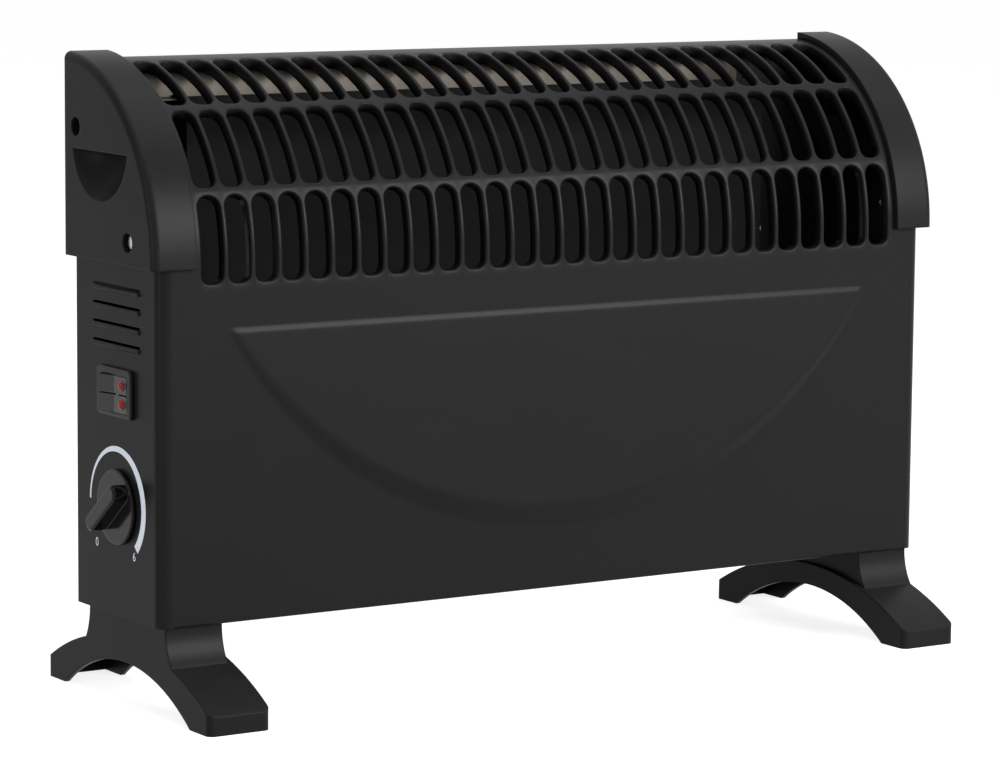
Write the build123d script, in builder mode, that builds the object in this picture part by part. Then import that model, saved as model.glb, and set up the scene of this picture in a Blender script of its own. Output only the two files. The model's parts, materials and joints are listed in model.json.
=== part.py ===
from build123d import *
import os
from math import asin, atan2, cos, degrees, radians, sin, sqrt, tan

os.makedirs("parts", exist_ok=True)

# Frame: +X to the viewer's right, with the controls on the -X end, +Y to the back, +Z up.
# The origin is on the floor, at the middle of the casing's width and of the feet's depth.

# Casing of folded steel sheet
sheet = 1.0
casing_half = 259.0
seam_half = 251.0
corner_radius = 7.6
casing_bottom = 51.0
back_y = 48.5
roll_y = 58.0
roll_z = 248.5
roll_radius = 108.0
front_y = roll_y - roll_radius
flange = 12.0
back_lip = 10.0
lap = 12.0

# Grille: three rows of slots with turned-in edges
slots_in_row = 28
slot_pitch = 16.8
slot_width = 14.1
slot_depth = 6.5
slot_lower_corner = 5.0
crown_facets = 4
corner_facets = 1
grille_foot_z = 234.5
grille_top_angle = 79.0
slot_rows = [(-5.6, 20.2), (22.5, 49.0), (51.2, 77.2)]

# Raised half-moon on the front: edge circle on the flat, inner circle on the raised face
moon_top_z = 213.0
moon_edge_radius = 250.7
moon_edge_centre_z = 338.5
moon_face_radius = 260.5
moon_face_centre_z = 360.0
moon_lift_top = 0.6
moon_lift_bottom = 4.5

# Moulded end caps
cap_half = 265.0
cap_width = 26.6
cap_radius = 111.6
cap_inner_radius = 108.4
cap_back_y = 50.0
cap_bottom = 247.0
cap_wall = 2.3
cap_ledge = 1.4
cap_edge_radius = 4.3
grip_y = 8.5
grip_top_z = 307.0
grip_half_length = 32.5
grip_height = 27.2
grip_depth = 18.0
grip_wall = 2.2
well_y = -23.6
well_z = 260.0
well_radius = 5.4
well_depth = 4.0
spigot_y = 37.0
spigot_z = 319.0
spigot_bore = 5.2
spigot_wall = 2.0
spigot_depth = 14.0

# Louvres of the control end
louvre_zs = [233.6, 223.2, 212.8, 202.4]
louvre_y = 1.0
louvre_length = 55.0
louvre_slit = 1.4
louvre_bulge = 2.6
louvre_lift = 1.3

# Switches
bezel_length = 40.0
bezel_height = 27.0
bezel_z = 175.5
bezel_lift = 2.8
bezel_corner = 3.0
collar_wall = 1.5
collar_depth = 9.0
rocker_y = -1.0
rocker_length_radius = 14.8
rocker_height = 9.6
rocker_zs = {"upper": 180.2, "lower": 169.8}
rocker_tilt = 7.0
rocker_face = 2.8
rocker_skirt = 3.5
rocker_gap = 0.3
pin_radius = 1.0
running_fit = 0.05
lens_y = -10.5
lens_radius = 3.0
lens_height = 2.0
lens_stem_radius = 2.0

# Thermostat
dial_y = -1.2
dial_z = 112.0
knob_radius = 21.0
knob_gap = 0.4
knob_lift = 3.0
grip_bar_width = 9.6
grip_bar_top = 12.3
knob_rest_angle = 38.0
spindle_radius = 3.0
bush_radius = 5.0
thermostat_size = (24.0, 34.0, 30.0)

# Feet
foot_inner = 216.5
foot_outer = 254.6
foot_half = 95.7
foot_wall = 2.8
foot_top_radius = 185.4
foot_top_z = 37.3
foot_arch_radius = 125.2
foot_arch_z = 24.2
foot_step = 3.0

# Inside the casing
partition_x = -206.0
partition_top = 226.0
shield_y = 29.0
shield_top = 334.0
shield_bottom = 140.0
shield_left = -200.0
shield_right = 197.0
deflector_bottom = 332.0
element_half = 178.0
element_z = 110.0
deflector_half = 190.0
deflector_top = 353.0
gland_x = -230.0
gland_z = 72.0
gland_radius = 6.0
cord_hole_radius = 3.7
foot_screw_places = [(-237.0, -28), (-237.0, 5)]
panel_screw_spots = [(-245, 95), (245, 95), (-245, 215), (245, 215), (-120, 350.5), (120, 350.5)]

end_plane_left = Plane(origin=(-casing_half, 0, 0), x_dir=(0, -1, 0), z_dir=(-1, 0, 0))


def casing_outline(radius, back, bottom):
    """The casing seen from the end: flat front, quarter-round roll, flat back."""
    top = roll_z + sqrt(radius**2 - (roll_y - back) ** 2)
    middle = radians(45.0)
    with BuildSketch() as outline:
        with BuildLine():
            Line((back, bottom), (roll_y - radius, bottom))
            Line((roll_y - radius, bottom), (roll_y - radius, roll_z))
            ThreePointArc(
                (roll_y - radius, roll_z),
                (roll_y - radius * cos(middle), roll_z + radius * sin(middle)),
                (back, top),
            )
            Line((back, top), (back, bottom))
        make_face()
    return outline.sketch


def roll_plane(angle, radius):
    """Plane tangent to the roll: local x along +X, local y up the slope, z outwards."""
    spot = (0, roll_y - radius * cos(radians(angle)), roll_z + radius * sin(radians(angle)))
    outward = (0, -cos(radians(angle)), sin(radians(angle)))
    return Plane(origin=spot, x_dir=(1, 0, 0), z_dir=outward)


def grille_slot(height):
    """One slot: a full round upper end and a lower end with rounded corners, in few facets."""
    half = slot_width / 2
    high = height / 2 - half
    low = slot_lower_corner - height / 2
    corner = slot_lower_corner
    crown = [radians(180.0 * step / crown_facets) for step in range(crown_facets + 1)]
    bevel = [radians(90.0 * step / corner_facets) for step in range(corner_facets + 1)]
    points = [(half * cos(turn), high + half * sin(turn)) for turn in crown]
    points += [(corner - half - corner * cos(turn), low - corner * sin(turn)) for turn in bevel]
    points += [(half - corner + corner * sin(turn), low - corner * cos(turn)) for turn in bevel]
    with BuildSketch() as slot:
        with BuildLine():
            Polyline(*points, close=True)
        make_face()
    return slot.sketch


def moon_outline(centre_z, radius, top_z):
    """A circle's lower segment under a straight top edge, drawn with local y as Z."""
    half = sqrt(radius**2 - (centre_z - top_z) ** 2)
    with BuildSketch() as outline:
        with BuildLine():
            ThreePointArc((-half, top_z), (0, centre_z - radius), (half, top_z))
            Line((half, top_z), (-half, top_z))
        make_face()
    return outline.sketch


def half_moon():
    """The raised half-moon as a solid: flush at its top edge, most proud at its foot."""
    face_bottom = moon_face_centre_z - moon_face_radius
    rise = moon_lift_bottom - moon_lift_top
    run = moon_top_z - face_bottom
    lean = degrees(atan2(rise, run))
    edge_plane = Plane.XZ.offset(-front_y)
    hinge = (0, front_y - moon_lift_top, moon_top_z)
    down = Vector(0, -sin(radians(lean)), -cos(radians(lean)))
    face_plane = Plane(origin=hinge, x_dir=(1, 0, 0), z_dir=Vector(1, 0, 0).cross(-down))
    stretch = 1 / cos(radians(lean))
    with BuildPart() as moon:
        with BuildSketch(edge_plane):
            add(moon_outline(moon_edge_centre_z, moon_edge_radius, moon_top_z))
        with BuildSketch(face_plane):
            with BuildLine():
                half = sqrt(moon_face_radius**2 - (moon_face_centre_z - moon_top_z) ** 2)
                ThreePointArc((-half, 0), (0, -run * stretch), (half, 0))
                Line((half, 0), (-half, 0))
            make_face()
        loft(ruled=True)
    return moon.part


def make_front_panel():
    """One sheet: flat front with the half-moon, then the roll with its slots."""
    with BuildPart() as front_panel:
        with BuildSketch(Plane.YZ.offset(-seam_half)):
            add(casing_outline(roll_radius, back_y - sheet, casing_bottom))
            inner = casing_outline(roll_radius - sheet, back_y - 2 * sheet, casing_bottom + sheet)
            add(inner, mode=Mode.SUBTRACT)
            below_lip = Location((back_y, (roll_z + roll_radius - back_lip) / 2))
            with Locations(below_lip):
                Rectangle(
                    2 * (back_y - front_y - flange), roll_z + roll_radius - back_lip, mode=Mode.SUBTRACT
                )
        extrude(amount=2 * seam_half)
        # Doubled depth where the slots' edges are turned in
        skin = roll_radius - sheet / 2
        inside = roll_radius - slot_depth
        top = radians(grille_top_angle)
        half_top = top / 2
        grille_half = slot_pitch * slots_in_row / 2
        with BuildSketch(Plane.YZ.offset(-grille_half)):
            with BuildLine():
                Line((roll_y - skin, roll_z), (roll_y - skin, grille_foot_z))
                Line((roll_y - skin, grille_foot_z), (roll_y - inside, grille_foot_z))
                Line((roll_y - inside, grille_foot_z), (roll_y - inside, roll_z))
                ThreePointArc(
                    (roll_y - inside, roll_z),
                    (roll_y - inside * cos(half_top), roll_z + inside * sin(half_top)),
                    (roll_y - inside * cos(top), roll_z + inside * sin(top)),
                )
                Line(
                    (roll_y - inside * cos(top), roll_z + inside * sin(top)),
                    (roll_y - skin * cos(top), roll_z + skin * sin(top)),
                )
                ThreePointArc(
                    (roll_y - skin * cos(top), roll_z + skin * sin(top)),
                    (roll_y - skin * cos(half_top), roll_z + skin * sin(half_top)),
                    (roll_y - skin, roll_z),
                )
            make_face()
        extrude(amount=2 * grille_half)
        # Slots, one row after another
        for low, high in slot_rows:
            middle = (low + high) / 2
            height = 2 * roll_radius * sin(radians((high - low) / 2))
            with BuildSketch(roll_plane(middle, roll_radius + 4)):
                with GridLocations(slot_pitch, 0, slots_in_row, 1):
                    add(grille_slot(height))
            extrude(amount=-(slot_depth + 10), mode=Mode.SUBTRACT)
        # Holes in the back lip
        with BuildSketch(Plane.XZ.offset(-back_y)):
            with Locations(*panel_screw_spots[4:]):
                Circle(1.5)
        extrude(amount=3, mode=Mode.SUBTRACT)
        # Half-moon pressed out of the sheet
        moon = half_moon()
        add(moon)
        add(moon.moved(Location((0, sheet, 0))), mode=Mode.SUBTRACT)
    return front_panel.part


def side_tray():
    """Left side panel without its control openings: a shallow tray, open inwards."""
    depth = casing_half - seam_half
    bend_y = front_y + corner_radius
    bend_x = -casing_half + corner_radius
    inner_radius = corner_radius - sheet
    with BuildPart() as tray:
        # Plate, with the roll above its rounded front corner
        with BuildSketch(Plane.YZ.offset(-casing_half)):
            add(casing_outline(roll_radius, back_y, casing_bottom))
            with Locations((front_y, roll_z / 2)):
                Rectangle(2 * corner_radius, roll_z, mode=Mode.SUBTRACT)
        extrude(amount=sheet)
        # Rim along the roll and the back
        with BuildSketch(Plane.YZ.offset(-casing_half)):
            add(casing_outline(roll_radius, back_y, casing_bottom))
            add(casing_outline(roll_radius - sheet, back_y - sheet, 0), mode=Mode.SUBTRACT)
            with Locations((front_y, roll_z / 2)):
                Rectangle(2 * corner_radius, roll_z, mode=Mode.SUBTRACT)
        extrude(amount=depth)
        # Rounded front corner
        with BuildSketch(Plane.XY.offset(casing_bottom)):
            with BuildLine():
                RadiusArc((bend_x, front_y), (-casing_half, bend_y), corner_radius)
                Line((-casing_half, bend_y), (-casing_half + sheet, bend_y))
                RadiusArc((-casing_half + sheet, bend_y), (bend_x, front_y + sheet), -inner_radius)
                Line((bend_x, front_y + sheet), (-seam_half, front_y + sheet))
                Line((-seam_half, front_y + sheet), (-seam_half, front_y))
                Line((-seam_half, front_y), (bend_x, front_y))
            make_face()
        extrude(amount=roll_z - casing_bottom)
        # Joggled strip that carries the back panel
        with Locations((-seam_half + (lap - depth + sheet) / 2, back_y - 1.5 * sheet, 200)):
            Box(lap + depth - sheet, sheet, 280)
        # Openings behind the cap
        with BuildSketch(Plane.YZ.offset(-casing_half - 1)):
            add(grip_outline(grip_wall + 1))
            with Locations((spigot_y, spigot_z)):
                Circle(spigot_bore + spigot_wall)
            with Locations((well_y, well_z)):
                Circle(2.0)
        extrude(amount=3, mode=Mode.SUBTRACT)
        # Holes for the back panel's screws
        with BuildSketch(Plane.XZ.offset(-back_y)):
            with Locations(*panel_screw_spots):
                Circle(1.5)
        extrude(amount=3, mode=Mode.SUBTRACT)
    return tray.part


def louvre():
    """One raised louvre lip, lying on the left side panel's outer face."""
    with BuildPart() as lip:
        with BuildSketch(end_plane_left):
            SlotOverall(louvre_length, louvre_bulge)
        extrude(amount=louvre_lift)
        chamfer(lip.faces().sort_by(Axis.X)[0].edges(), louvre_lift * 0.6)
    return lip.part


def make_left_side_panel():
    """Control end: louvres, switch opening and thermostat holes."""
    with BuildPart() as panel:
        add(side_tray())
        lip = louvre()
        for z in louvre_zs:
            add(lip.moved(Location((0, louvre_y, z - louvre_slit / 2 - louvre_bulge / 2))))
        with BuildSketch(Plane.YZ.offset(-casing_half - 1)):
            for z in louvre_zs:
                with Locations((louvre_y, z)):
                    SlotOverall(louvre_length, louvre_slit)
            with Locations((rocker_y, bezel_z - 0.5)):
                Rectangle(*collar_size())
            with Locations((dial_y, dial_z)):
                Circle(bush_radius)
        extrude(amount=3, mode=Mode.SUBTRACT)
    return panel.part


def collar_size():
    """Outer size, along Y and Z, of the bezel's collar round the rockers."""
    length = 2 * (rocker_length_radius + rocker_gap + collar_wall)
    pair = rocker_zs["upper"] - rocker_zs["lower"] + rocker_height
    return length, pair + 2 * (rocker_gap + collar_wall)


def make_right_side_panel():
    with BuildPart() as panel:
        mirror(side_tray(), about=Plane.YZ)
    return panel.part


def make_base_plate():
    """Floor of the casing, notched for the front panel's flange, with the air intake."""
    inner = casing_half - sheet
    with BuildPart() as base:
        with BuildSketch(Plane.XY.offset(casing_bottom)):
            with Locations((0, (front_y + back_y) / 2)):
                Rectangle(2 * inner, back_y - front_y - 2 * sheet)
            with Locations((0, front_y)):
                Rectangle(2 * casing_half, 2 * flange, mode=Mode.SUBTRACT)
            with Locations((5, 5)):
                with GridLocations(17, 0, 22, 1):
                    Rectangle(8, 56, mode=Mode.SUBTRACT)
            with Locations(*foot_screw_places, *[(-x, y) for x, y in foot_screw_places]):
                Circle(2.0, mode=Mode.SUBTRACT)
        extrude(amount=sheet)
    return base.part


def make_back_panel():
    """Flat back with two keyholes for hanging on a wall and the cord gland's hole."""
    top = roll_z + sqrt(roll_radius**2 - (roll_y - back_y) ** 2) - 0.6
    with BuildPart() as back:
        with BuildSketch(Plane.XZ.offset(-back_y)):
            with Locations((0, (casing_bottom + top) / 2)):
                Rectangle(2 * seam_half, top - casing_bottom)
            with Locations((-206, 240), (206, 240)):
                Circle(5.5, mode=Mode.SUBTRACT)
            with Locations((-206, 250), (206, 250)):
                SlotOverall(22, 5, rotation=90, mode=Mode.SUBTRACT)
            with Locations((-230, 72)):
                Circle(6.0, mode=Mode.SUBTRACT)
            with Locations(*panel_screw_spots):
                Circle(1.5, mode=Mode.SUBTRACT)
        extrude(amount=sheet)
    return back.part


def make_cap():
    """Left end cap: a shell over the roll, with the finger grip and two wells."""
    inner_edge = -cap_half + cap_width
    with BuildPart() as cap:
        with BuildSketch(Plane.YZ.offset(-cap_half)):
            add(casing_outline(cap_radius, cap_back_y, cap_bottom))
        extrude(amount=cap_width)
        outer = cap.faces().sort_by(Axis.X)[0].edges()
        rolled = outer.filter_by(lambda e: e.center().Y < cap_back_y - 0.1 and e.center().Z > cap_bottom + 0.1)
        fillet(rolled, cap_edge_radius)
        # Room for the casing
        with BuildSketch(Plane.YZ.offset(-casing_half)):
            add(casing_outline(cap_inner_radius, back_y + 0.2, cap_bottom - 5))
        extrude(amount=casing_half + inner_edge + 1, mode=Mode.SUBTRACT)
        # Hollow behind the end wall
        with BuildSketch(Plane.YZ.offset(-cap_half + cap_wall)):
            add(casing_outline(cap_inner_radius - cap_ledge, back_y - cap_ledge, cap_bottom + cap_ledge))
        extrude(amount=cap_half - cap_wall - casing_half, mode=Mode.SUBTRACT)
        # Finger grip bowl, screw well and locating spigot
        with BuildSketch(Plane.YZ.offset(-cap_half + 1)):
            add(grip_outline(grip_wall))
        extrude(amount=grip_depth + grip_wall - 1)
        with BuildSketch(Plane.YZ.offset(-cap_half)):
            with Locations((well_y, well_z)):
                Circle(well_radius + cap_wall)
        extrude(amount=cap_half - casing_half)
        with BuildSketch(Plane.YZ.offset(-cap_half + 1)):
            with Locations((spigot_y, spigot_z)):
                Circle(spigot_bore + spigot_wall)
        extrude(amount=spigot_depth + spigot_wall - 1)
        add(grip_bowl(), mode=Mode.SUBTRACT)
        with BuildSketch(Plane.YZ.offset(-cap_half)):
            with Locations((well_y, well_z)):
                Circle(well_radius)
        extrude(amount=well_depth, mode=Mode.SUBTRACT)
        with BuildSketch(Plane.YZ.offset(-cap_half)):
            with Locations((spigot_y, spigot_z)):
                Circle(spigot_bore)
        extrude(amount=spigot_depth, mode=Mode.SUBTRACT)
        with BuildSketch(Plane.YZ.offset(-cap_half)):
            with Locations((well_y, well_z)):
                Circle(2.0)
        extrude(amount=cap_half - casing_half, mode=Mode.SUBTRACT)
    return cap.part


def grip_bowl():
    """Concave bowl of the finger grip: a ball cut off flat at the top."""
    ball = (grip_half_length**2 + grip_depth**2) / (2 * grip_depth)
    drop = grip_half_length - grip_height
    with BuildPart() as bowl:
        with Locations((grip_depth - ball, 0, drop)):
            Sphere(ball)
        with Locations((0, 0, 3 * ball)):
            Box(6 * ball, 6 * ball, 6 * ball, mode=Mode.SUBTRACT)
    return bowl.part.moved(Location((-cap_half, grip_y, grip_top_z)))


def grip_outline(margin):
    """The finger grip's opening, grown by the margin, drawn in the YZ plane."""
    drop = grip_half_length - grip_height
    top = grip_top_z + margin
    with BuildSketch() as outline:
        with Locations((grip_y, grip_top_z + drop)):
            Circle(grip_half_length + margin)
        with Locations((grip_y, top + 2 * grip_half_length)):
            Rectangle(6 * grip_half_length, 4 * grip_half_length, mode=Mode.SUBTRACT)
    return outline.sketch


def make_foot():
    """Left foot: an arched leg with a column up to the casing, hollow from below."""
    width = foot_outer - foot_inner
    with BuildPart() as foot:
        with BuildSketch(Plane.YZ.offset(-foot_outer)):
            add(leg_outline(0))
        extrude(amount=width)
        ends = foot.edges().filter_by(Axis.Z).filter_by(lambda e: abs(e.center().Y) > foot_half - 1)
        fillet(ends, 4.0)
        with BuildSketch(Plane.YZ.offset(-foot_outer)):
            add(column_outline(0, casing_bottom))
        extrude(amount=width - foot_step)
        # The hollow
        with BuildSketch(Plane.YZ.offset(-foot_outer + foot_wall)):
            add(leg_outline(foot_wall))
        extrude(amount=width - 2 * foot_wall, mode=Mode.SUBTRACT)
        with BuildSketch(Plane.YZ.offset(-foot_outer + foot_wall)):
            add(column_outline(foot_wall, casing_bottom - foot_wall))
        extrude(amount=width - foot_step - 2 * foot_wall, mode=Mode.SUBTRACT)
        # Screw holes in the column's top
        with BuildSketch(Plane.XY.offset(casing_bottom)):
            with Locations(*foot_screw_places):
                Circle(2.0)
        extrude(amount=-foot_wall, mode=Mode.SUBTRACT)
    return foot.part


def leg_outline(wall):
    """The arched leg from the side; a wall makes the hollow, which is open below."""
    top_centre = foot_top_z - foot_top_radius
    top_radius = foot_top_radius - wall
    half = foot_half - wall
    shoulder = top_centre + sqrt(top_radius**2 - half**2)
    arch_centre = foot_arch_z - foot_arch_radius
    sole = sqrt(foot_arch_radius**2 - arch_centre**2)
    with BuildSketch() as outline:
        with BuildLine():
            Line((-half, 0), (-half, shoulder))
            ThreePointArc((-half, shoulder), (0, top_centre + top_radius), (half, shoulder))
            Line((half, shoulder), (half, 0))
            if wall:
                Line((half, 0), (-half, 0))
            else:
                Line((half, 0), (sole, 0))
                ThreePointArc((sole, 0), (0, foot_arch_z), (-sole, 0))
                Line((-sole, 0), (-half, 0))
        make_face()
    return outline.sketch


def column_outline(wall, top):
    """The column from the side, flaring down into the leg."""
    with BuildSketch() as outline:
        with BuildLine():
            Line((-46.5 + wall, top), (43 - wall, top))
            ThreePointArc((43 - wall, top), (44.2 - wall, 40), (48.5 - wall, 30))
            Line((48.5 - wall, 30), (48.5 - wall, 26))
            Line((48.5 - wall, 26), (-52.8 + wall, 26))
            Line((-52.8 + wall, 26), (-52.8 + wall, 30))
            ThreePointArc((-52.8 + wall, 30), (-47.9 + wall, 40), (-46.5 + wall, top))
        make_face()
    return outline.sketch


def make_knob():
    """Round skirt with a straight grip bar across it."""
    face = end_plane_left.offset(knob_gap)
    with BuildPart() as knob:
        with BuildSketch(face):
            with Locations((-dial_y, dial_z)):
                Circle(knob_radius)
        extrude(amount=knob_lift - knob_gap)
        chamfer(knob.faces().sort_by(Axis.X)[0].edges(), 0.6)
        with BuildSketch(end_plane_left.offset(knob_lift - 1)):
            with Locations(Location((-dial_y, dial_z, 0), (0, 0, knob_rest_angle))):
                SlotOverall(2 * knob_radius - 1.4, grip_bar_width)
        extrude(amount=grip_bar_top - knob_lift + 1)
        chamfer(knob.faces().sort_by(Axis.X)[0].edges(), 1.0)
        # Hollow of the skirt, clear of the thermostat's bush
        with BuildSketch(face):
            with Locations((-dial_y, dial_z)):
                Circle(knob_radius - 2)
        extrude(amount=knob_lift - knob_gap - 1.2, mode=Mode.SUBTRACT)
        with BuildSketch(face):
            with Locations((-dial_y, dial_z)):
                Circle(spindle_radius)
        extrude(amount=9, mode=Mode.SUBTRACT)
    return knob.part


def make_bezel():
    """Raised frame round the rockers, with a collar through the side panel."""
    length, height = collar_size()
    with BuildPart() as bezel:
        with BuildSketch(end_plane_left):
            with Locations((0, bezel_z)):
                RectangleRounded(bezel_length, bezel_height, bezel_corner)
        extrude(amount=bezel_lift)
        chamfer(bezel.faces().sort_by(Axis.X)[0].edges(), 0.8)
        with BuildSketch(end_plane_left):
            with Locations((-rocker_y, bezel_z - 0.5)):
                Rectangle(length, height)
        extrude(amount=-collar_depth)
        with BuildSketch(end_plane_left.offset(bezel_lift + 1)):
            with Locations((-rocker_y, bezel_z - 0.5)):
                Rectangle(length - 2 * collar_wall, height - 2 * collar_wall)
        extrude(amount=-(bezel_lift + 1 + collar_depth), mode=Mode.SUBTRACT)
        with BuildSketch(Plane.XY.offset(bezel_z - 30)):
            with Locations((-casing_half, rocker_y)):
                Circle(pin_radius)
        extrude(amount=60, mode=Mode.SUBTRACT)
    return bezel.part


def make_rocker(centre_z):
    """One rocker, tilted to its resting side: a shallow V of two flats on round ends."""
    tilt = radians(rocker_tilt)
    vertex = rocker_face / cos(tilt)
    slope = tan(tilt)
    radius = rocker_length_radius
    lead = 1 + slope**2
    reach = (-vertex * slope + sqrt((vertex * slope) ** 2 - lead * (vertex**2 - radius**2))) / lead
    tip = vertex + reach * slope
    foot = sqrt(radius**2 - rocker_skirt**2)
    low = Plane(origin=(-casing_half, rocker_y, centre_z - rocker_height / 2), x_dir=(0, 1, 0), z_dir=(0, 0, 1))
    with BuildPart() as rocker:
        with BuildSketch(low.rotated((0, 0, rocker_tilt))):
            with BuildLine():
                Line((0, vertex), (reach, tip))
                ThreePointArc((reach, tip), (radius, 0), (foot, -rocker_skirt))
                Line((foot, -rocker_skirt), (-foot, -rocker_skirt))
                ThreePointArc((-foot, -rocker_skirt), (-radius, 0), (-reach, tip))
                Line((-reach, tip), (0, vertex))
            make_face()
            Circle(pin_radius + running_fit, mode=Mode.SUBTRACT)
        extrude(amount=rocker_height)
        with BuildSketch(end_plane_left.offset(rocker_face + 1)):
            with Locations((-lens_y, centre_z)):
                Circle(lens_stem_radius)
        extrude(amount=-3, mode=Mode.SUBTRACT)
    return rocker.part


def make_lens(centre_z):
    """Domed lens on a short stem in its rocker."""
    dome = (lens_radius**2 + lens_height**2) / (2 * lens_height)
    mid = asin(lens_radius / dome) / 2
    seat = Plane(origin=(-casing_half - rocker_face, lens_y, centre_z), x_dir=(0, 1, 0), z_dir=(0, 0, 1))
    with BuildPart() as lens:
        with BuildSketch(seat):
            with BuildLine():
                Line((0, -2), (lens_stem_radius, -2))
                Line((lens_stem_radius, -2), (lens_stem_radius, 0))
                Line((lens_stem_radius, 0), (lens_radius, 0))
                ThreePointArc(
                    (lens_radius, 0),
                    (dome * sin(mid), lens_height - dome + dome * cos(mid)),
                    (0, lens_height),
                )
                Line((0, lens_height), (0, -2))
            make_face()
        revolve(axis=Axis((-casing_half, lens_y, centre_z), (-1, 0, 0)))
    return lens.part


def make_bolt(spot, direction, head_radius, head_height, shank_radius, shank_length):
    """A screw whose head bears at the spot and whose shank points along the direction."""
    seat = Plane(origin=spot, z_dir=-Vector(direction))
    with BuildPart() as bolt:
        with BuildSketch(seat):
            Circle(head_radius)
        extrude(amount=head_height)
        with BuildSketch(seat):
            Circle(shank_radius)
        extrude(amount=-shank_length)
    return bolt.part


def make_cap_screw():
    floor = (-cap_half + well_depth, well_y, well_z)
    return make_bolt(floor, (1, 0, 0), 3.5, 1.8, 2.0, 12)


def make_bolts(spots, direction, head_radius, head_height, shank_radius, shank_length):
    """Several like screws as one set."""
    with BuildPart() as bolts:
        for spot in spots:
            add(make_bolt(spot, direction, head_radius, head_height, shank_radius, shank_length))
    return bolts.part


def make_spindle():
    """Thermostat spindle: turns with the knob, in the bush and the body behind it."""
    with BuildPart() as spindle:
        with BuildSketch(end_plane_left.offset(knob_gap + 9)):
            with Locations((-dial_y, dial_z)):
                Circle(spindle_radius)
        extrude(amount=-(knob_gap + 9 + 14))
    return spindle.part


def make_thermostat():
    """Thermostat: a block on the inside of the panel, its bush through the panel."""
    depth, length, height = thermostat_size
    face = end_plane_left.offset(-sheet)
    with BuildPart() as body:
        with BuildSketch(face):
            with Locations((-dial_y, dial_z)):
                RectangleRounded(length, height, 3)
        extrude(amount=-depth)
        with BuildSketch(face):
            with Locations((-dial_y, dial_z)):
                Circle(bush_radius)
        extrude(amount=sheet + knob_gap + 1.0)
        with BuildSketch(face):
            with Locations((-dial_y, dial_z)):
                Circle(spindle_radius + running_fit)
        extrude(amount=14, both=True, mode=Mode.SUBTRACT)
    return body.part


def make_tabs(x, spots, size):
    """Flat push-on tabs that point into the casing from the plane at x."""
    thickness, width, reach = size
    with BuildPart() as tabs:
        with BuildSketch(Plane.YZ.offset(x)):
            with Locations(*spots):
                Rectangle(width, thickness)
        extrude(amount=reach)
    return tabs.part


def make_switch_body():
    """Housing that carries both switches, clipped behind the collar."""
    length, height = collar_size()
    with BuildPart() as body:
        with BuildSketch(end_plane_left.offset(-collar_depth)):
            with Locations((-rocker_y, bezel_z - 0.5)):
                Rectangle(length, height)
        extrude(amount=-18)
    return body.part


def make_rocker_pin():
    _, height = collar_size()
    with BuildPart() as pin:
        with BuildSketch(Plane.XY.offset(bezel_z - 0.5 - height / 2)):
            with Locations((-casing_half, rocker_y)):
                Circle(pin_radius)
        extrude(amount=height)
    return pin.part


def make_partition():
    """Wall and roof of thin sheet between the element and the controls."""
    floor = casing_bottom + sheet
    side = -casing_half + sheet
    with BuildPart() as partition:
        with BuildSketch(Plane.XZ.offset(-(back_y - 2 * sheet))):
            with BuildLine():
                Polyline(
                    (partition_x + lap, floor),
                    (partition_x - sheet, floor),
                    (partition_x - sheet, partition_top - sheet),
                    (side, partition_top - sheet),
                    (side, partition_top),
                    (partition_x, partition_top),
                    (partition_x, floor + sheet),
                    (partition_x + lap, floor + sheet),
                    close=True,
                )
            make_face()
        extrude(amount=back_y - front_y - flange - 2 * sheet)
    return partition.part


def make_heat_shield():
    """Inner shield: a plate between the element and the back, with ends turned back."""
    width = shield_right - shield_left
    middle = (shield_left + shield_right) / 2
    depth = back_y - sheet - shield_y
    with BuildPart() as shield:
        with BuildSketch(Plane.XY.offset(shield_bottom)):
            with Locations((middle, shield_y + depth / 2)):
                Rectangle(width, depth)
            with Locations((middle, shield_y + sheet + depth / 2)):
                Rectangle(width - 2 * sheet, depth, mode=Mode.SUBTRACT)
        extrude(amount=shield_top - shield_bottom)
    return shield.part


def make_deflector():
    """Galvanised strip under the top of the roll that turns the warm air forwards."""
    face = back_y - 2 * sheet
    height = deflector_top - deflector_bottom
    with BuildPart() as deflector:
        with BuildSketch(Plane.YZ.offset(-deflector_half)):
            with Locations((face - sheet / 2, deflector_bottom + height / 2)):
                Rectangle(sheet, height)
            with Locations((face - 3, deflector_bottom + sheet / 2)):
                Rectangle(6, sheet)
        extrude(amount=2 * deflector_half)
        with BuildSketch(Plane.XZ.offset(-face)):
            with Locations(*panel_screw_spots[4:]):
                Circle(1.5)
        extrude(amount=3, mode=Mode.SUBTRACT)
    return deflector.part


def make_element_bracket():
    """Left hanger of the element: a channel that stands on the base plate."""
    foot_z = casing_bottom + sheet
    with BuildPart() as bracket:
        with BuildSketch(Plane.XY.offset(foot_z)):
            with Locations((-element_half - 6, 0)):
                Rectangle(14, 30)
            with Locations((-element_half - 6 + sheet, 0)):
                Rectangle(14, 30 - 2 * sheet, mode=Mode.SUBTRACT)
        extrude(amount=element_z + 28 - foot_z)
    return bracket.part


def make_insulators():
    """Ceramic blocks between the two hangers and the board's ends."""
    inner = element_half - 11
    with BuildPart() as insulators:
        for side in (-1, 1):
            for z in (element_z - 15, element_z + 15):
                with Locations((side * (inner + 6), 0, z)):
                    Box(24, 12, 9)
        with Locations((0, 0, element_z)):
            Box(2 * inner, 1.2, 44, mode=Mode.SUBTRACT)
    return insulators.part


def make_mica_board():
    """Upright board of mica with notched edges, which the windings hang on."""
    with BuildPart() as board:
        with BuildSketch(Plane.XZ.offset(0.6)):
            with Locations((0, element_z)):
                Rectangle(2 * (element_half - 11), 44)
            with Locations((0, element_z - 22), (0, element_z + 22)):
                with GridLocations(16, 0, 21, 1):
                    Rectangle(3, 4, mode=Mode.SUBTRACT)
        extrude(amount=-1.2)
    return board.part


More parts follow.
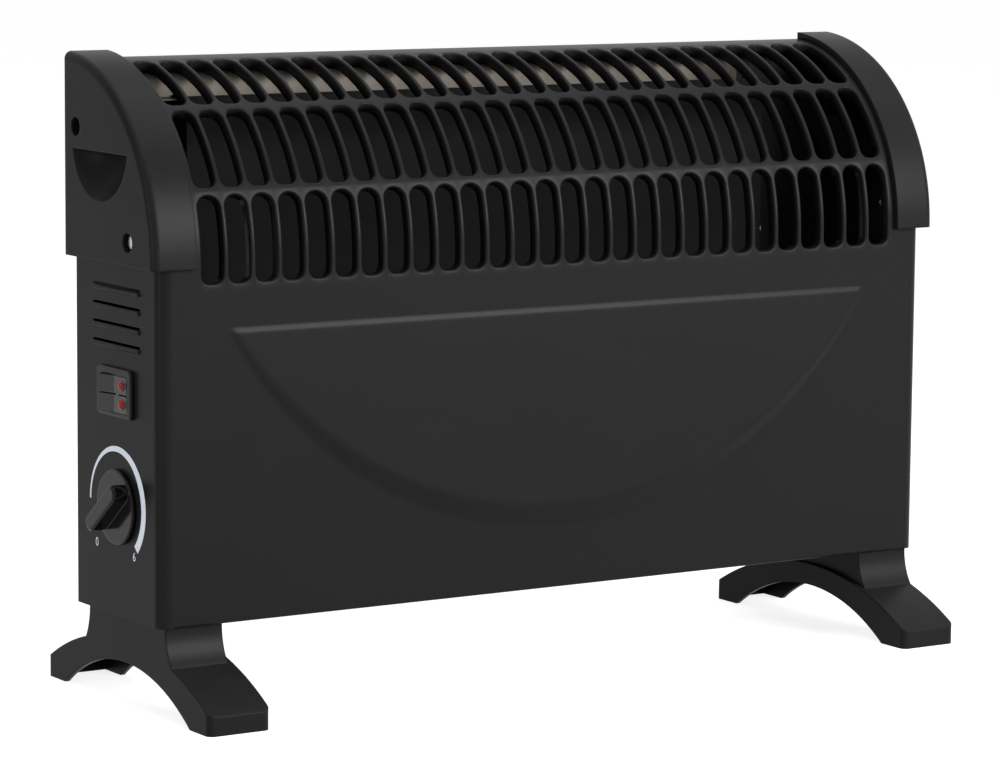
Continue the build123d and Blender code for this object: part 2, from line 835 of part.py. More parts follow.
def make_winding(centre_z):
    """Resistance ribbon: a flat zigzag on the front of the board."""
    turns = 20
    rise = 7
    ribbon = 2.4
    step = (2 * element_half - 60) / turns
    start = -element_half + 30
    crests = [(start + (turn + 0.5) * step, centre_z + rise) for turn in range(turns)]
    troughs = [(start + turn * step, centre_z - rise) for turn in range(turns + 1)]
    route = [troughs[0]]
    for crest, trough in zip(crests, troughs[1:]):
        route += [crest, trough]
    lifted = [(x, z + ribbon) for x, z in reversed(route)]
    with BuildPart() as winding:
        with BuildSketch(Plane.XZ.offset(0.6)):
            with BuildLine():
                Polyline(*route, *lifted, close=True)
            make_face()
        extrude(amount=0.8)
    return winding.part


def make_cutout():
    """Thermal cut-out: a small round can on the front of the inner shield."""
    with BuildPart() as can:
        with BuildSketch(Plane.XZ.offset(-shield_y)):
            with Locations((120, 170)):
                Circle(8)
        extrude(amount=6)
        with BuildSketch(Plane.XZ.offset(-shield_y + 6)):
            with Locations((116, 170), (124, 170)):
                Rectangle(1, 5)
        extrude(amount=7)
    return can.part


def make_terminal_block():
    """Three-pole block on the base plate, by the cord's entry."""
    floor = casing_bottom + sheet
    with BuildPart() as block:
        with Locations((-232, 24, floor + 8)):
            Box(30, 18, 16)
        with Locations((-241, 24, floor + 13), (-232, 24, floor + 13), (-223, 24, floor + 13)):
            Box(4.4, 4.4, 6, mode=Mode.SUBTRACT)
    return block.part


def make_gland():
    """Cord gland through the back panel: a flange outside, a lock ring inside."""
    seat = Plane(origin=(gland_x, back_y, gland_z), x_dir=(1, 0, 0), z_dir=(0, 1, 0))
    with BuildPart() as gland:
        with BuildSketch(seat):
            Circle(9)
        extrude(amount=2.5)
        with BuildSketch(seat):
            Circle(gland_radius)
        extrude(amount=-sheet)
        with BuildSketch(seat.offset(-sheet)):
            Circle(8)
        extrude(amount=-3)
        with BuildSketch(seat.offset(4)):
            Circle(cord_hole_radius)
        extrude(amount=-12, mode=Mode.SUBTRACT)
    return gland.part


def save(part, label):
    part.label = label
    export_step(part, f"parts/{label}.step")


def save_pair(part, label):
    """The left piece and its mirror image on the right."""
    save(part, f"left_{label}")
    with BuildPart() as other:
        mirror(part, about=Plane.YZ)
    save(other.part, f"right_{label}")


foot_screw_spots = [(x, y, casing_bottom - foot_wall) for x, y in foot_screw_places]
back_screw_spots = [(x, back_y, z) for x, z in panel_screw_spots]
thermostat_back = -casing_half + sheet + thermostat_size[0]
switch_back = -casing_half + collar_depth + 18
switch_tab_spots = [(y, z) for z in rocker_zs.values() for y in (-9, 7)]
tab_size = (0.8, 6.3, 8)

save(make_front_panel(), "front_panel")
save(make_left_side_panel(), "left_side_panel")
save(make_right_side_panel(), "right_side_panel")
save(make_base_plate(), "base_plate")
save(make_back_panel(), "back_panel")
save_pair(make_cap(), "end_cap")
save_pair(make_cap_screw(), "cap_screw")
save_pair(make_foot(), "foot")
save_pair(make_bolts(foot_screw_spots, (0, 0, 1), 4.0, 2.2, 2.0, 9), "foot_screws")
save(make_bolts(back_screw_spots, (0, -1, 0), 3.2, 1.8, 1.5, 6), "back_screws")
save(make_knob(), "thermostat_knob")
save(make_spindle(), "thermostat_spindle")
save(make_thermostat(), "thermostat_body")
save(make_tabs(thermostat_back, [(-9, 104), (7, 104), (-1, 120)], tab_size), "thermostat_tabs")
save(make_bezel(), "switch_bezel")
save(make_switch_body(), "switch_body")
save(make_rocker_pin(), "rocker_pin")
save(make_tabs(switch_back, switch_tab_spots, tab_size), "switch_tabs")
for name, z in rocker_zs.items():
    save(make_rocker(z), f"{name}_rocker")
    save(make_lens(z), f"{name}_lens")
save(make_partition(), "control_partition")
save(make_heat_shield(), "heat_shield")
save(make_deflector(), "air_deflector")
save_pair(make_element_bracket(), "element_bracket")
save(make_mica_board(), "mica_board")
save(make_winding(element_z + 8), "upper_winding")
save(make_winding(element_z - 12), "lower_winding")
save(make_insulators(), "ceramic_insulators")
save(make_cutout(), "thermal_cutout")
save(make_terminal_block(), "terminal_block")
save(make_gland(), "cable_gland")
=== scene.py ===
"""Convector heater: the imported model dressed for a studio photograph. Lengths are in metres."""

import json
from math import cos, hypot, pi, radians, sin

import bmesh
import bpy
from mathutils import Matrix, Vector


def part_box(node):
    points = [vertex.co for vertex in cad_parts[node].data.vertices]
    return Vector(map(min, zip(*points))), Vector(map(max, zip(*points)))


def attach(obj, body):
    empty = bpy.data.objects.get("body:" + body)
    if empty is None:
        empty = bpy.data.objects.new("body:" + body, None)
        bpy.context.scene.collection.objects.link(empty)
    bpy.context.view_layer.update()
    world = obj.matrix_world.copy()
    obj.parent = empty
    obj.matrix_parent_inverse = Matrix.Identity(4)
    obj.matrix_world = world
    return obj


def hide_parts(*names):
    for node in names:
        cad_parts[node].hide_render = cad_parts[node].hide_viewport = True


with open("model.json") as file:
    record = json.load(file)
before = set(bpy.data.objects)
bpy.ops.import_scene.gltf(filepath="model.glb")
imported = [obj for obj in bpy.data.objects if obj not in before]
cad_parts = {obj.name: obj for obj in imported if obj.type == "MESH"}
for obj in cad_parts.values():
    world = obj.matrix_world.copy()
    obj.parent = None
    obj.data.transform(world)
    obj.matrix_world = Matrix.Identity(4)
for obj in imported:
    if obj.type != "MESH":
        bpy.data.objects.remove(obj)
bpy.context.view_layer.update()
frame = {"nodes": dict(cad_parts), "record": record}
MM = 0.001

# Camera that took the photograph: its place round the target, its lens and its sensor in millimetres
CAMERA_TARGET = Vector((-9.7, 0.0, 164.0)) * MM
CAMERA_AZIMUTH = -32.81
CAMERA_PITCH = 7.74
CAMERA_ROLL = 0.49
CAMERA_DISTANCE = 2406.9 * MM
CAMERA_LENS = 149.24
CAMERA_SENSOR = 36.0

# Casing: its foot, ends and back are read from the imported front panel
FRONT_LOW, FRONT_HIGH = (Vector(corner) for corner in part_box("front_panel"))
BASE_Z = FRONT_LOW.z
SEAM = FRONT_HIGH.x
BACK_Y = FRONT_HIGH.y
FRONT_Y = -50.0 * MM
ROLL_RADIUS = 108.0 * MM
ROLL_Y = FRONT_Y + ROLL_RADIUS
ROLL_Z = 248.5 * MM

# Turned-in foot of the front sheet
FOOT_BEND = 1.6 * MM
FOOT_DEPTH = 12.0 * MM

# Back of the roll: the angles where the grille and the roll end, and the edge bent down behind them
GRILLE_END_ANGLE = 79.5
ROLL_END_ANGLE = 84.3
BACK_BEND = 0.3 * MM
BACK_BEND_END = 1.4 * MM
BACK_EDGE_Z = 346.0 * MM

# Grille: the rows are pairs of angles round the roll, in degrees
SLOT_COUNT = 28
SLOT_PITCH = 16.8 * MM
SLOT_WIDTH = 14.1 * MM
SLOT_CORNER = 5.0 * MM
SLOT_ROWS = ((-5.6, 20.2), (22.5, 49.0), (51.2, 77.2))
SLOT_LIP = 1.0 * MM
SLOT_DEPTH = 6.4 * MM
GRILLE_FOOT = 234.0 * MM

# Raised half-moon of the front: centre height and radius of its outer edge and of its face,
# and how far its face stands out at the top and at the foot
MOON_TOP = 213.0 * MM
MOON_TOP_SLOPE = 0.6
MOON_EDGE = (338.5 * MM, 250.7 * MM)
MOON_FACE = (360.0 * MM, 260.5 * MM)
MOON_LIFT = (0.6 * MM, 4.5 * MM)
MOON_SOFTNESS = 0.35 * MM

# How finely the sheets are drawn
FRONT_COLUMNS = 336
FRONT_ROW_HEIGHT = 1.5 * MM
SHEET_ROW_HEIGHT = 3.0 * MM
BACK_COLUMNS = 4
BEND_STEPS = 5
LIP_STEPS = 4
CROWN_STEPS = 14
CORNER_STEPS = 5
SIDE_STEPS = 8
WELD_DISTANCE = 0.02 * MM
SAME_LINE = 1e-7

# Galvanised strip behind the top slots
STRIP_LEFT = -232.0 * MM
STRIP_HEM = 1.6 * MM
STRIP_GAUGE = 1.0 * MM
STRIP_COLUMNS = 12

# Control end: the dial's middle (Y, Z), and the arc's angles in degrees
PANEL_X = -259.0 * MM
PRINT_LIFT = 0.06 * MM
DIAL = (0.4 * MM, 112.4 * MM)
DIAL_RADIUS = 33.0 * MM
DIAL_TURN = (180.0, -45.0)
DIAL_STEPS = 72

# Width of the dial's arc in millimetres: at its thin end, what it gains, and how fast it gains it
ARC_THIN = 1.5
ARC_GAIN = 3.6
ARC_RATE = 1.5
ARC_CURVE = 1.5

# Numbers at the dial's ends: text and place (Y, Z)
DIGITS = (("0", 25.0 * MM, 88.5 * MM), ("6", -19.0 * MM, 86.5 * MM))
DIGIT_HEIGHT = 7.0 * MM

# Studio: the floor's colour and its glow towards the camera, and the world's light
FLOOR_SIZE = 60.0
FLOOR_ALBEDO = 0.42
FLOOR_ROUGHNESS = 0.9
FLOOR_GLOW = 0.84
WORLD_LIGHT = 0.35

# Lamps: name, place, the spot that they point at, size in metres and power in watts
MIDDLE = (0.0, 0.0, 0.18)
LAMPS = (
    ("overhead", (0.1, -0.3, 2.2), MIDDLE, (2.4, 1.6), 30.0),
    ("front_fill", (1.1, -2.2, 1.0), MIDDLE, (1.4, 1.0), 95.0),
    ("left_strip", (-2.2, -0.25, 0.45), (-0.26, 0.0, 0.2), (0.12, 1.4), 14.0),
)

# Noise in the materials, in features per metre: patches of colour, of gloss and in the lenses
PATCH_SCALE = 18.0
GLOSS_SCALE = 60.0
LENS_SCALE = 300.0
NOISE_DETAIL = 3.0
NOISE_LOW = 0.3
NOISE_HIGH = 0.7
GLOSS_CHANGE = 0.01

# Depth of the fine grain in paint and mouldings, and samples for the softened edges
GRAIN_DEPTH = 0.2 * MM
EDGE_SAMPLES = 6

# Colour sockets of the mix node
MIX_FACTOR = 0
MIX_DARK = 6
MIX_LIGHT = 7
MIX_COLOR = 2

# Finishes: two near colours, roughness, grain in features per metre and its strength, and the radius
# to which edges look rounded, with the metal, specular level and index of refraction where they differ
FINISHES = {
    "casing_paint": {
        "dark": (0.0102, 0.0102, 0.0110), "light": (0.0108, 0.0108, 0.0117), "roughness": 0.30,
        "grain": 2200, "strength": 0.04, "edge": 0.0006, "specular": 0.4, "ior": 1.15,
    },
    # dark_sheet: its near-black colour is painted shade, standing in for the shade on the sheet behind
    # the lower slots
    "dark_sheet": {
        "dark": (0.0050, 0.0050, 0.0056), "light": (0.0072, 0.0072, 0.0080), "roughness": 0.55,
        "grain": 900, "strength": 0.1, "edge": 0.0004, "specular": 0.3, "ior": 1.15,
    },
    "moulding": {
        "dark": (0.0085, 0.0087, 0.0092), "light": (0.0112, 0.0114, 0.0120), "roughness": 0.36,
        "grain": 2600, "strength": 0.08, "edge": 0.0014, "specular": 0.4, "ior": 1.15,
    },
    "knob_plastic": {
        "dark": (0.003, 0.003, 0.003), "light": (0.004, 0.004, 0.004), "roughness": 0.14,
        "grain": 500, "strength": 0.02, "edge": 0.0012, "specular": 0.7, "ior": 1.2,
    },
    "control_plastic": {
        "dark": (0.006, 0.006, 0.006), "light": (0.008, 0.008, 0.008), "roughness": 0.30,
        "grain": 1800, "strength": 0.1, "edge": 0.0008, "specular": 0.6, "ior": 1.2,
    },
    "rocker_plastic": {
        "dark": (0.020, 0.020, 0.021), "light": (0.026, 0.026, 0.027), "roughness": 0.26,
        "grain": 1500, "strength": 0.06, "edge": 0.0005, "specular": 0.25,
    },
    "galvanised": {
        "dark": (0.070, 0.060, 0.048), "light": (0.110, 0.096, 0.078), "roughness": 0.50,
        "grain": 260, "strength": 0.15, "edge": 0.0003, "metallic": 0.35, "specular": 0.3,
    },
    "insulation": {
        "dark": (0.50, 0.46, 0.38), "light": (0.62, 0.58, 0.50), "roughness": 0.75,
        "grain": 700, "strength": 0.3, "edge": 0.0003,
    },
    "bright_steel": {
        "dark": (0.55, 0.55, 0.54), "light": (0.62, 0.62, 0.60), "roughness": 0.24,
        "grain": 900, "strength": 0.08, "edge": 0.0003, "metallic": 1.0,
    },
    "brass_tab": {
        "dark": (0.60, 0.43, 0.19), "light": (0.70, 0.52, 0.24), "roughness": 0.30,
        "grain": 900, "strength": 0.1, "edge": 0.0002, "metallic": 1.0,
    },
    "heating_wire": {
        "dark": (0.20, 0.18, 0.17), "light": (0.30, 0.28, 0.26), "roughness": 0.45,
        "grain": 1200, "strength": 0.2, "edge": 0.0002, "metallic": 0.8,
    },
    "print": {
        "dark": (0.74, 0.78, 0.88), "light": (0.82, 0.86, 0.95), "roughness": 0.55,
        "grain": 3000, "strength": 0.1, "edge": 0.0001,
    },
}

# Red lenses: their colour and its two extremes, roughness, index of refraction, and the light's way
# into the plastic
LENS_COLOR = (0.26, 0.001, 0.002)
LENS_DARK = (0.20, 0.001, 0.001)
LENS_LIGHT = (0.32, 0.002, 0.002)
LENS_ROUGHNESS = 0.10
LENS_IOR = 1.25
LENS_SUBSURFACE = 0.1
LENS_SUBSURFACE_RADIUS = (0.004, 0.0006, 0.0004)
LENS_COAT = 0.1


def new_material(name, color, roughness, metallic=0.0, specular=0.5):
    """A Principled material and its node tree, ready for detail."""
    material = bpy.data.materials.new(name)
    material.use_nodes = True
    shader = material.node_tree.nodes["Principled BSDF"]
    shader.inputs["Base Color"].default_value = (*color, 1.0)
    shader.inputs["Roughness"].default_value = roughness
    shader.inputs["Metallic"].default_value = metallic
    shader.inputs["Specular IOR Level"].default_value = specular
    return material, material.node_tree, shader


def noise(tree, scale):
    """Noise fixed to the object, with its scale in features per metre."""
    place = tree.nodes.new("ShaderNodeTexCoord")
    texture = tree.nodes.new("ShaderNodeTexNoise")
    texture.inputs["Scale"].default_value = scale
    texture.inputs["Detail"].default_value = NOISE_DETAIL
    tree.links.new(place.outputs["Object"], texture.inputs["Vector"])
    return texture.outputs["Fac"]


def spread(tree, factor, low, high):
    """Maps the middle of a noise to a range of values."""
    remap = tree.nodes.new("ShaderNodeMapRange")
    remap.inputs["From Min"].default_value = NOISE_LOW
    remap.inputs["From Max"].default_value = NOISE_HIGH
    remap.inputs["To Min"].default_value = low
    remap.inputs["To Max"].default_value = high
    tree.links.new(factor, remap.inputs["Value"])
    return remap.outputs["Result"]


def color_patches(tree, shader, scale, dark, light):
    """Base colour that drifts between two near colours."""
    mix = tree.nodes.new("ShaderNodeMix")
    mix.data_type = "RGBA"
    mix.inputs[MIX_DARK].default_value = (*dark, 1.0)
    mix.inputs[MIX_LIGHT].default_value = (*light, 1.0)
    tree.links.new(spread(tree, noise(tree, scale), 0.0, 1.0), mix.inputs[MIX_FACTOR])
    tree.links.new(mix.outputs[MIX_COLOR], shader.inputs["Base Color"])


def rounded_bump(tree, shader, grain, strength, edge):
    """Fine surface grain, over edges that catch the light as if slightly rounded."""
    bevel = tree.nodes.new("ShaderNodeBevel")
    bevel.samples = EDGE_SAMPLES
    bevel.inputs["Radius"].default_value = edge
    bump = tree.nodes.new("ShaderNodeBump")
    bump.inputs["Strength"].default_value = strength
    bump.inputs["Distance"].default_value = GRAIN_DEPTH
    tree.links.new(noise(tree, grain), bump.inputs["Height"])
    tree.links.new(bevel.outputs["Normal"], bump.inputs["Normal"])
    tree.links.new(bump.outputs["Normal"], shader.inputs["Normal"])


def coated(name, dark, light, roughness, grain, strength, edge, metallic=0.0, specular=0.5, ior=1.5):
    """A surface with slight colour change, uneven gloss and a fine grain."""
    material, tree, shader = new_material(name, light, roughness, metallic, specular)
    shader.inputs["IOR"].default_value = ior
    color_patches(tree, shader, PATCH_SCALE, dark, light)
    gloss = spread(tree, noise(tree, GLOSS_SCALE), roughness - GLOSS_CHANGE, roughness + GLOSS_CHANGE)
    tree.links.new(gloss, shader.inputs["Roughness"])
    rounded_bump(tree, shader, grain, strength, edge)
    return material


def make_lens_material():
    """Deep red translucent plastic with a glossy skin."""
    material, tree, shader = new_material("red_lens", LENS_COLOR, LENS_ROUGHNESS)
    shader.inputs["IOR"].default_value = LENS_IOR
    shader.inputs["Subsurface Weight"].default_value = LENS_SUBSURFACE
    shader.inputs["Subsurface Radius"].default_value = LENS_SUBSURFACE_RADIUS
    shader.inputs["Coat Weight"].default_value = LENS_COAT
    color_patches(tree, shader, LENS_SCALE, LENS_DARK, LENS_LIGHT)
    return material


def make_materials():
    """One material for each of the record's slots, and one for the dial's print."""
    mats = {name: coated(name, **finish) for name, finish in FINISHES.items()}
    mats["red_lens"] = make_lens_material()
    return mats


def dress_nodes(mats):
    """Gives every CAD node its slot's material."""
    for entry in frame["record"]["subparts"]:
        node = frame["nodes"][entry["node"]]
        node.data.materials.clear()
        node.data.materials.append(mats[entry["material_slot"]])


def make_object(name, mesh, material, smooth=True):
    """A mesh object in the scene with one material."""
    obj = bpy.data.objects.new(name, mesh)
    bpy.context.scene.collection.objects.link(obj)
    mesh.materials.append(material)
    for polygon in mesh.polygons:
        polygon.use_smooth = smooth
    return obj


def object_from(bm, name, material):
    """Turns finished faces into a smooth object."""
    mesh = bpy.data.meshes.new(name)
    bm.to_mesh(mesh)
    bm.free()
    return make_object(name, mesh, material)


def join_rows(bm, rows):
    """Faces between neighbouring rows of vertices, all of one length."""
    for low, high in zip(rows, rows[1:]):
        for j in range(len(low) - 1):
            bm.faces.new((low[j], low[j + 1], high[j + 1], high[j]))


def quarter_turns(steps):
    """Angles from 0 to a quarter turn."""
    return [0.5 * pi * i / steps for i in range(steps + 1)]


def on_casing(x, run, lift=0.0):
    """A point of the casing: run is the length up the front from its foot and over the roll."""
    flat = ROLL_Z - BASE_Z
    if run <= flat:
        return Vector((x, FRONT_Y - lift, BASE_Z + run))
    turn = (run - flat) / ROLL_RADIUS
    radius = ROLL_RADIUS + lift
    return Vector((x, ROLL_Y - radius * cos(turn), ROLL_Z + radius * sin(turn)))


def run_at(angle):
    """Length along the casing at which the roll has turned by the angle, in degrees."""
    return ROLL_Z - BASE_Z + radians(angle) * ROLL_RADIUS


def slot_outline(half_length, grow):
    """Points round one slot, grown by a margin: u across and v up, from its middle."""
    half = SLOT_WIDTH / 2 + grow
    corner = SLOT_CORNER + grow
    top = half_length + grow - half
    low = corner - half_length - grow
    crown = [pi * i / CROWN_STEPS for i in range(CROWN_STEPS + 1)]
    turns = quarter_turns(CORNER_STEPS)
    points = [(half * cos(turn), top + half * sin(turn)) for turn in crown]
    points += [(-half, top + (low - top) * i / SIDE_STEPS) for i in range(1, SIDE_STEPS)]
    points += [(corner - half - corner * cos(turn), low - corner * sin(turn)) for turn in turns]
    points += [(half - corner + corner * sin(turn), low - corner * cos(turn)) for turn in turns]
    points += [(half, low + (top - low) * i / SIDE_STEPS) for i in range(1, SIDE_STEPS)]
    return points


def cell_edge(point, half_length, low, high):
    """The point of the cell's rectangular edge beside a point of the slot's rim."""
    side = SLOT_PITCH / 2
    top = half_length - SLOT_WIDTH / 2
    foot = SLOT_CORNER - half_length
    u, v = point
    if foot <= v <= top:
        return (side if u > 0 else -side, v)
    centre = top if v > top else foot
    reach = (high - centre) if v > top else (centre - low)
    rise = abs(v - centre)
    if abs(u) * reach >= rise * side:
        return (side if u > 0 else -side, centre + (v - centre) * side / abs(u))
    return (u * reach / rise, high if v > top else low)


def add_slot_cell(bm, middle_x, middle_run, half_length, low, high):
    """One slot with its rolled lip and turned-in wall, in the sheet of its own cell."""
    rim = slot_outline(half_length, SLOT_LIP)
    edge = [cell_edge(point, half_length, low, high) for point in rim]
    rings = [[(u, v, 0.0) for u, v in edge]]
    for turn in quarter_turns(LIP_STEPS):
        grow = SLOT_LIP * (1 - sin(turn))
        sink = SLOT_LIP * (1 - cos(turn))
        rings.append([(u, v, -sink) for u, v in slot_outline(half_length, grow)])
    rings.append([(u, v, -SLOT_DEPTH) for u, v in slot_outline(half_length, 0.0)])
    rings.append([(u, v, -SLOT_DEPTH) for u, v in slot_outline(half_length, SLOT_LIP)])
    rows = []
    for ring in rings:
        rows.append([bm.verts.new(on_casing(middle_x + u, middle_run + v, d)) for u, v, d in ring])
    join_rows(bm, [row + row[:1] for row in rows])
    side = SLOT_PITCH / 2
    count = len(rim)
    for i in range(count):
        (u0, v0), (u1, v1) = edge[i], edge[(i + 1) % count]
        if abs(u0 - u1) > SAME_LINE and abs(v0 - v1) > SAME_LINE:
            corner_u = side if u0 + u1 > 0 else -side
            corner_v = high if v0 + v1 > 0 else low
            corner = bm.verts.new(on_casing(middle_x + corner_u, middle_run + corner_v))
            bm.faces.new((rows[0][i], corner, rows[0][(i + 1) % count]))


def add_strip(bm, x_low, x_high, run_low, run_high, columns=1):
    """Plain sheet between two lengths of run."""
    steps = max(2, int((run_high - run_low) / SHEET_ROW_HEIGHT))
    grid = []
    for i in range(steps + 1):
        run = run_low + (run_high - run_low) * i / steps
        xs = [x_low + (x_high - x_low) * j / columns for j in range(columns + 1)]
        grid.append([bm.verts.new(on_casing(x, run)) for x in xs])
    join_rows(bm, grid)


def soft_min(a, b, radius):
    """The lesser of two heights, rounded where they cross."""
    blend = max(radius - abs(a - b), 0.0) / radius
    return min(a, b) - blend * blend * radius / 4


def moon_lift(x, z):
    """Height of the pressed half-moon over the flat front."""
    edge_centre, edge_radius = MOON_EDGE
    face_centre, face_radius = MOON_FACE
    lift_top, lift_foot = MOON_LIFT
    face_foot = face_centre - face_radius
    edge_foot = edge_centre - edge_radius
    slope = lift_foot / (face_foot - edge_foot)
    inside = edge_radius - hypot(x, z - edge_centre)
    share = (MOON_TOP - z) / (MOON_TOP - face_foot)
    face = lift_top + (lift_foot - lift_top) * share
    top_step = (MOON_TOP - z) * MOON_TOP_SLOPE
    lift = soft_min(inside * slope, face, 2 * MOON_SOFTNESS)
    lift = soft_min(lift, top_step, 2 * MOON_SOFTNESS)
    return max(lift, 0.0)


def add_front(bm):
    """Flat front: the turned-in foot, the half-moon and the sheet up to the grille."""
    flat = GRILLE_FOOT - BASE_Z
    rows = int(flat / FRONT_ROW_HEIGHT)
    profile = [(FOOT_DEPTH, 0.0)]
    for turn in quarter_turns(BEND_STEPS):
        profile.append((FOOT_BEND * (1 - sin(turn)), FOOT_BEND * (1 - cos(turn))))
    profile += [(0.0, FOOT_BEND + (flat - FOOT_BEND) * i / rows) for i in range(1, rows + 1)]
    grid = []
    for depth, run in profile:
        line = []
        for j in range(FRONT_COLUMNS + 1):
            x = SEAM * (2 * j / FRONT_COLUMNS - 1)
            lift = moon_lift(x, BASE_Z + run) if depth == 0.0 else 0.0
            line.append(bm.verts.new((x, FRONT_Y + depth - lift, BASE_Z + run)))
        grid.append(line)
    join_rows(bm, grid)


def add_roll_end(bm):
    """Back edge of the roll, bent down inside the back panel."""
    end = run_at(ROLL_END_ANGLE)
    add_strip(bm, -SEAM, SEAM, run_at(GRILLE_END_ANGLE), end, BACK_COLUMNS)
    edge = on_casing(0.0, end)
    profile = [
        (edge.y, edge.z),
        (BACK_Y - BACK_BEND, edge.z - BACK_BEND),
        (BACK_Y, edge.z - BACK_BEND_END),
        (BACK_Y, BACK_EDGE_Z),
    ]
    join_rows(bm, [[bm.verts.new((x, y, z)) for x in (-SEAM, SEAM)] for y, z in profile])


def make_front_skin(material):
    """The whole front sheet: foot, half-moon, three rows of slots and the rolled top."""
    bm = bmesh.new()
    add_front(bm)
    bounds = [GRILLE_FOOT - BASE_Z]
    for (_, high), (low, _) in zip(SLOT_ROWS, SLOT_ROWS[1:]):
        bounds.append((run_at(high) + run_at(low)) / 2)
    bounds.append(run_at(GRILLE_END_ANGLE))
    half = SLOT_COUNT * SLOT_PITCH / 2
    for (low, high), start, end in zip(SLOT_ROWS, bounds, bounds[1:]):
        middle = (run_at(low) + run_at(high)) / 2
        half_length = (run_at(high) - run_at(low)) / 2
        for i in range(SLOT_COUNT):
            x = -half + (i + 0.5) * SLOT_PITCH
            add_slot_cell(bm, x, middle, half_length, start - middle, end - middle)
        for side in (-1, 1):
            add_strip(bm, *sorted((side * half, side * SEAM)), start, end)
    add_roll_end(bm)
    bmesh.ops.remove_doubles(bm, verts=bm.verts, dist=WELD_DISTANCE)
    skin = object_from(bm, "front_skin", material)
    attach(skin, "cabinet")
    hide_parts("front_panel")


def make_deflector(material):
    """Galvanised strip behind the top slots, with a hem along its lower edge."""
    low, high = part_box("air_deflector")
    face, top, foot = high[1], high[2], low[2]
    profile = [(face, top)]
    for turn in quarter_turns(BEND_STEPS):
        profile.append((face - STRIP_HEM * (1 - cos(turn)), foot + STRIP_HEM * (1 - sin(turn))))
    profile.append((low[1], foot))
    width = high[0] - STRIP_LEFT
    xs = [STRIP_LEFT + width * j / STRIP_COLUMNS for j in range(STRIP_COLUMNS + 1)]
    bm = bmesh.new()
    rows = [[bm.verts.new((x, y, z)) for x in xs] for y, z in profile]
    for upper, lower in zip(rows, rows[1:]):
        for j in range(STRIP_COLUMNS):
            bm.faces.new((upper[j], lower[j], lower[j + 1], upper[j + 1]))
    strip = object_from(bm, "deflector_strip", material)
    solid = strip.modifiers.new("gauge", "SOLIDIFY")
    solid.thickness = STRIP_GAUGE
    solid.offset = -1.0
    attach(strip, "cabinet")
    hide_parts("air_deflector")


def make_dial_print(material):
    """Printed arc that widens towards the warm end, and plain numbers at its ends."""
    bm = bmesh.new()
    x = PANEL_X - PRINT_LIFT
    start, end = (radians(angle) for angle in DIAL_TURN)
    rows = []
    for i in range(DIAL_STEPS + 1):
        share = i / DIAL_STEPS
        turn = start + (end - start) * share
        width = (ARC_THIN + ARC_GAIN * min(1.0, share * ARC_RATE) ** ARC_CURVE) * MM
        spots = []
        for radius in (DIAL_RADIUS, DIAL_RADIUS - width):
            spots.append(bm.verts.new((x, DIAL[0] - radius * cos(turn), DIAL[1] + radius * sin(turn))))
        rows.append(spots)
    join_rows(bm, rows)
    arc = object_from(bm, "dial_arc", material)
    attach(arc, "cabinet")
    for text, y, z in DIGITS:
        make_digit(text, y, z, material)


def make_digit(text, y, z, material):
    """A plain number printed on the control end, read from the -X side."""
    curve = bpy.data.curves.new("digit_" + text, "FONT")
    curve.body = text
    curve.size = DIGIT_HEIGHT
    curve.align_x = "CENTER"
    curve.align_y = "CENTER"
    letter = bpy.data.objects.new("digit_curve_" + text, curve)
    bpy.context.scene.collection.objects.link(letter)
    bpy.context.view_layer.update()
    depsgraph = bpy.context.evaluated_depsgraph_get()
    mesh = bpy.data.meshes.new_from_object(letter.evaluated_get(depsgraph))
    bpy.data.objects.remove(letter)
    for vertex in mesh.vertices:
        vertex.co = (PANEL_X - PRINT_LIFT, y - vertex.co.x, z + vertex.co.y)
    mesh.materials.clear()
    digit = make_object("digit_" + text, mesh, material, smooth=False)
    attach(digit, "cabinet")


def seen_ray(tree):
    """1 for rays that show the background: straight to the camera, by gloss or through glass."""
    path = tree.nodes.new("ShaderNodeLightPath")
    factor = path.outputs["Is Camera Ray"]
    for ray in ("Is Glossy Ray", "Is Transmission Ray"):
        widest = tree.nodes.new("ShaderNodeMath")
        widest.operation = "MAXIMUM"
        tree.links.new(factor, widest.inputs[0])
        tree.links.new(path.outputs[ray], widest.inputs[1])
        factor = widest.outputs[0]
    return factor


def make_floor():
    """White floor that keeps a soft shadow."""
    bpy.ops.mesh.primitive_plane_add(size=FLOOR_SIZE, location=(0, 0, 0))
    floor = bpy.context.object
    floor.name = "floor"
    material, tree, shader = new_material("floor", (FLOOR_ALBEDO,) * 3, FLOOR_ROUGHNESS, specular=0.0)
    glow = tree.nodes.new("ShaderNodeMath")
    glow.operation = "MULTIPLY"
    glow.inputs[1].default_value = FLOOR_GLOW
    tree.links.new(seen_ray(tree), glow.inputs[0])
    shader.inputs["Emission Color"].default_value = (1, 1, 1, 1)
    tree.links.new(glow.outputs[0], shader.inputs["Emission Strength"])
    floor.data.materials.append(material)


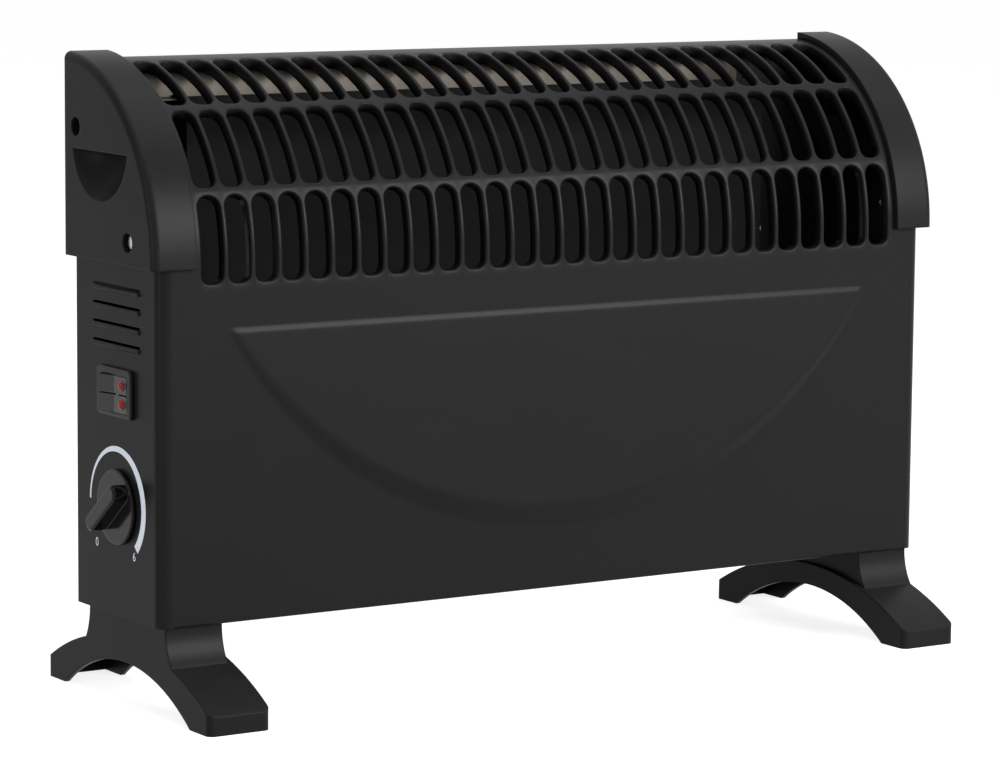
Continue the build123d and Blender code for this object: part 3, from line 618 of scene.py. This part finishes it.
def make_world():
    """Plain white light, and pure white behind the object."""
    world = bpy.data.worlds.new("studio")
    bpy.context.scene.world = world
    world.use_nodes = True
    tree = world.node_tree
    background = tree.nodes["Background"]
    strength = tree.nodes.new("ShaderNodeMapRange")
    strength.inputs["To Min"].default_value = WORLD_LIGHT
    strength.inputs["To Max"].default_value = 1.0
    tree.links.new(seen_ray(tree), strength.inputs["Value"])
    tree.links.new(strength.outputs["Result"], background.inputs["Strength"])
    background.inputs["Color"].default_value = (1, 1, 1, 1)


def add_area(name, place, aim, size, power):
    """A soft rectangular lamp that points at a spot."""
    lamp = bpy.data.lights.new(name, "AREA")
    lamp.shape = "RECTANGLE"
    lamp.size, lamp.size_y = size
    lamp.energy = power
    obj = bpy.data.objects.new(name, lamp)
    bpy.context.scene.collection.objects.link(obj)
    obj.location = place
    obj.rotation_euler = (Vector(aim) - Vector(place)).to_track_quat("-Z", "Y").to_euler()


def make_camera():
    """The photograph's camera, from its angles and distance about a target."""
    azimuth, pitch, roll = radians(CAMERA_AZIMUTH), radians(CAMERA_PITCH), radians(CAMERA_ROLL)
    back = Vector((sin(azimuth) * cos(pitch), -cos(azimuth) * cos(pitch), sin(pitch)))
    level = Vector((cos(azimuth), sin(azimuth), 0.0))
    rise = back.cross(level)
    right = level * cos(roll) + rise * sin(roll)
    up = rise * cos(roll) - level * sin(roll)
    camera = bpy.data.cameras.new("camera")
    camera.lens = CAMERA_LENS
    camera.sensor_width = CAMERA_SENSOR
    obj = bpy.data.objects.new("camera", camera)
    bpy.context.scene.collection.objects.link(obj)
    turn = Matrix((right, up, back)).transposed()
    obj.matrix_world = Matrix.Translation(CAMERA_TARGET + back * CAMERA_DISTANCE) @ turn.to_4x4()
    bpy.context.scene.camera = obj


materials = make_materials()
dress_nodes(materials)
make_front_skin(materials["casing_paint"])
make_deflector(materials["galvanised"])
make_dial_print(materials["print"])
make_floor()
make_world()
for lamp_values in LAMPS:
    add_area(*lamp_values)
make_camera()
bpy.context.scene.view_settings.view_transform = "Standard"
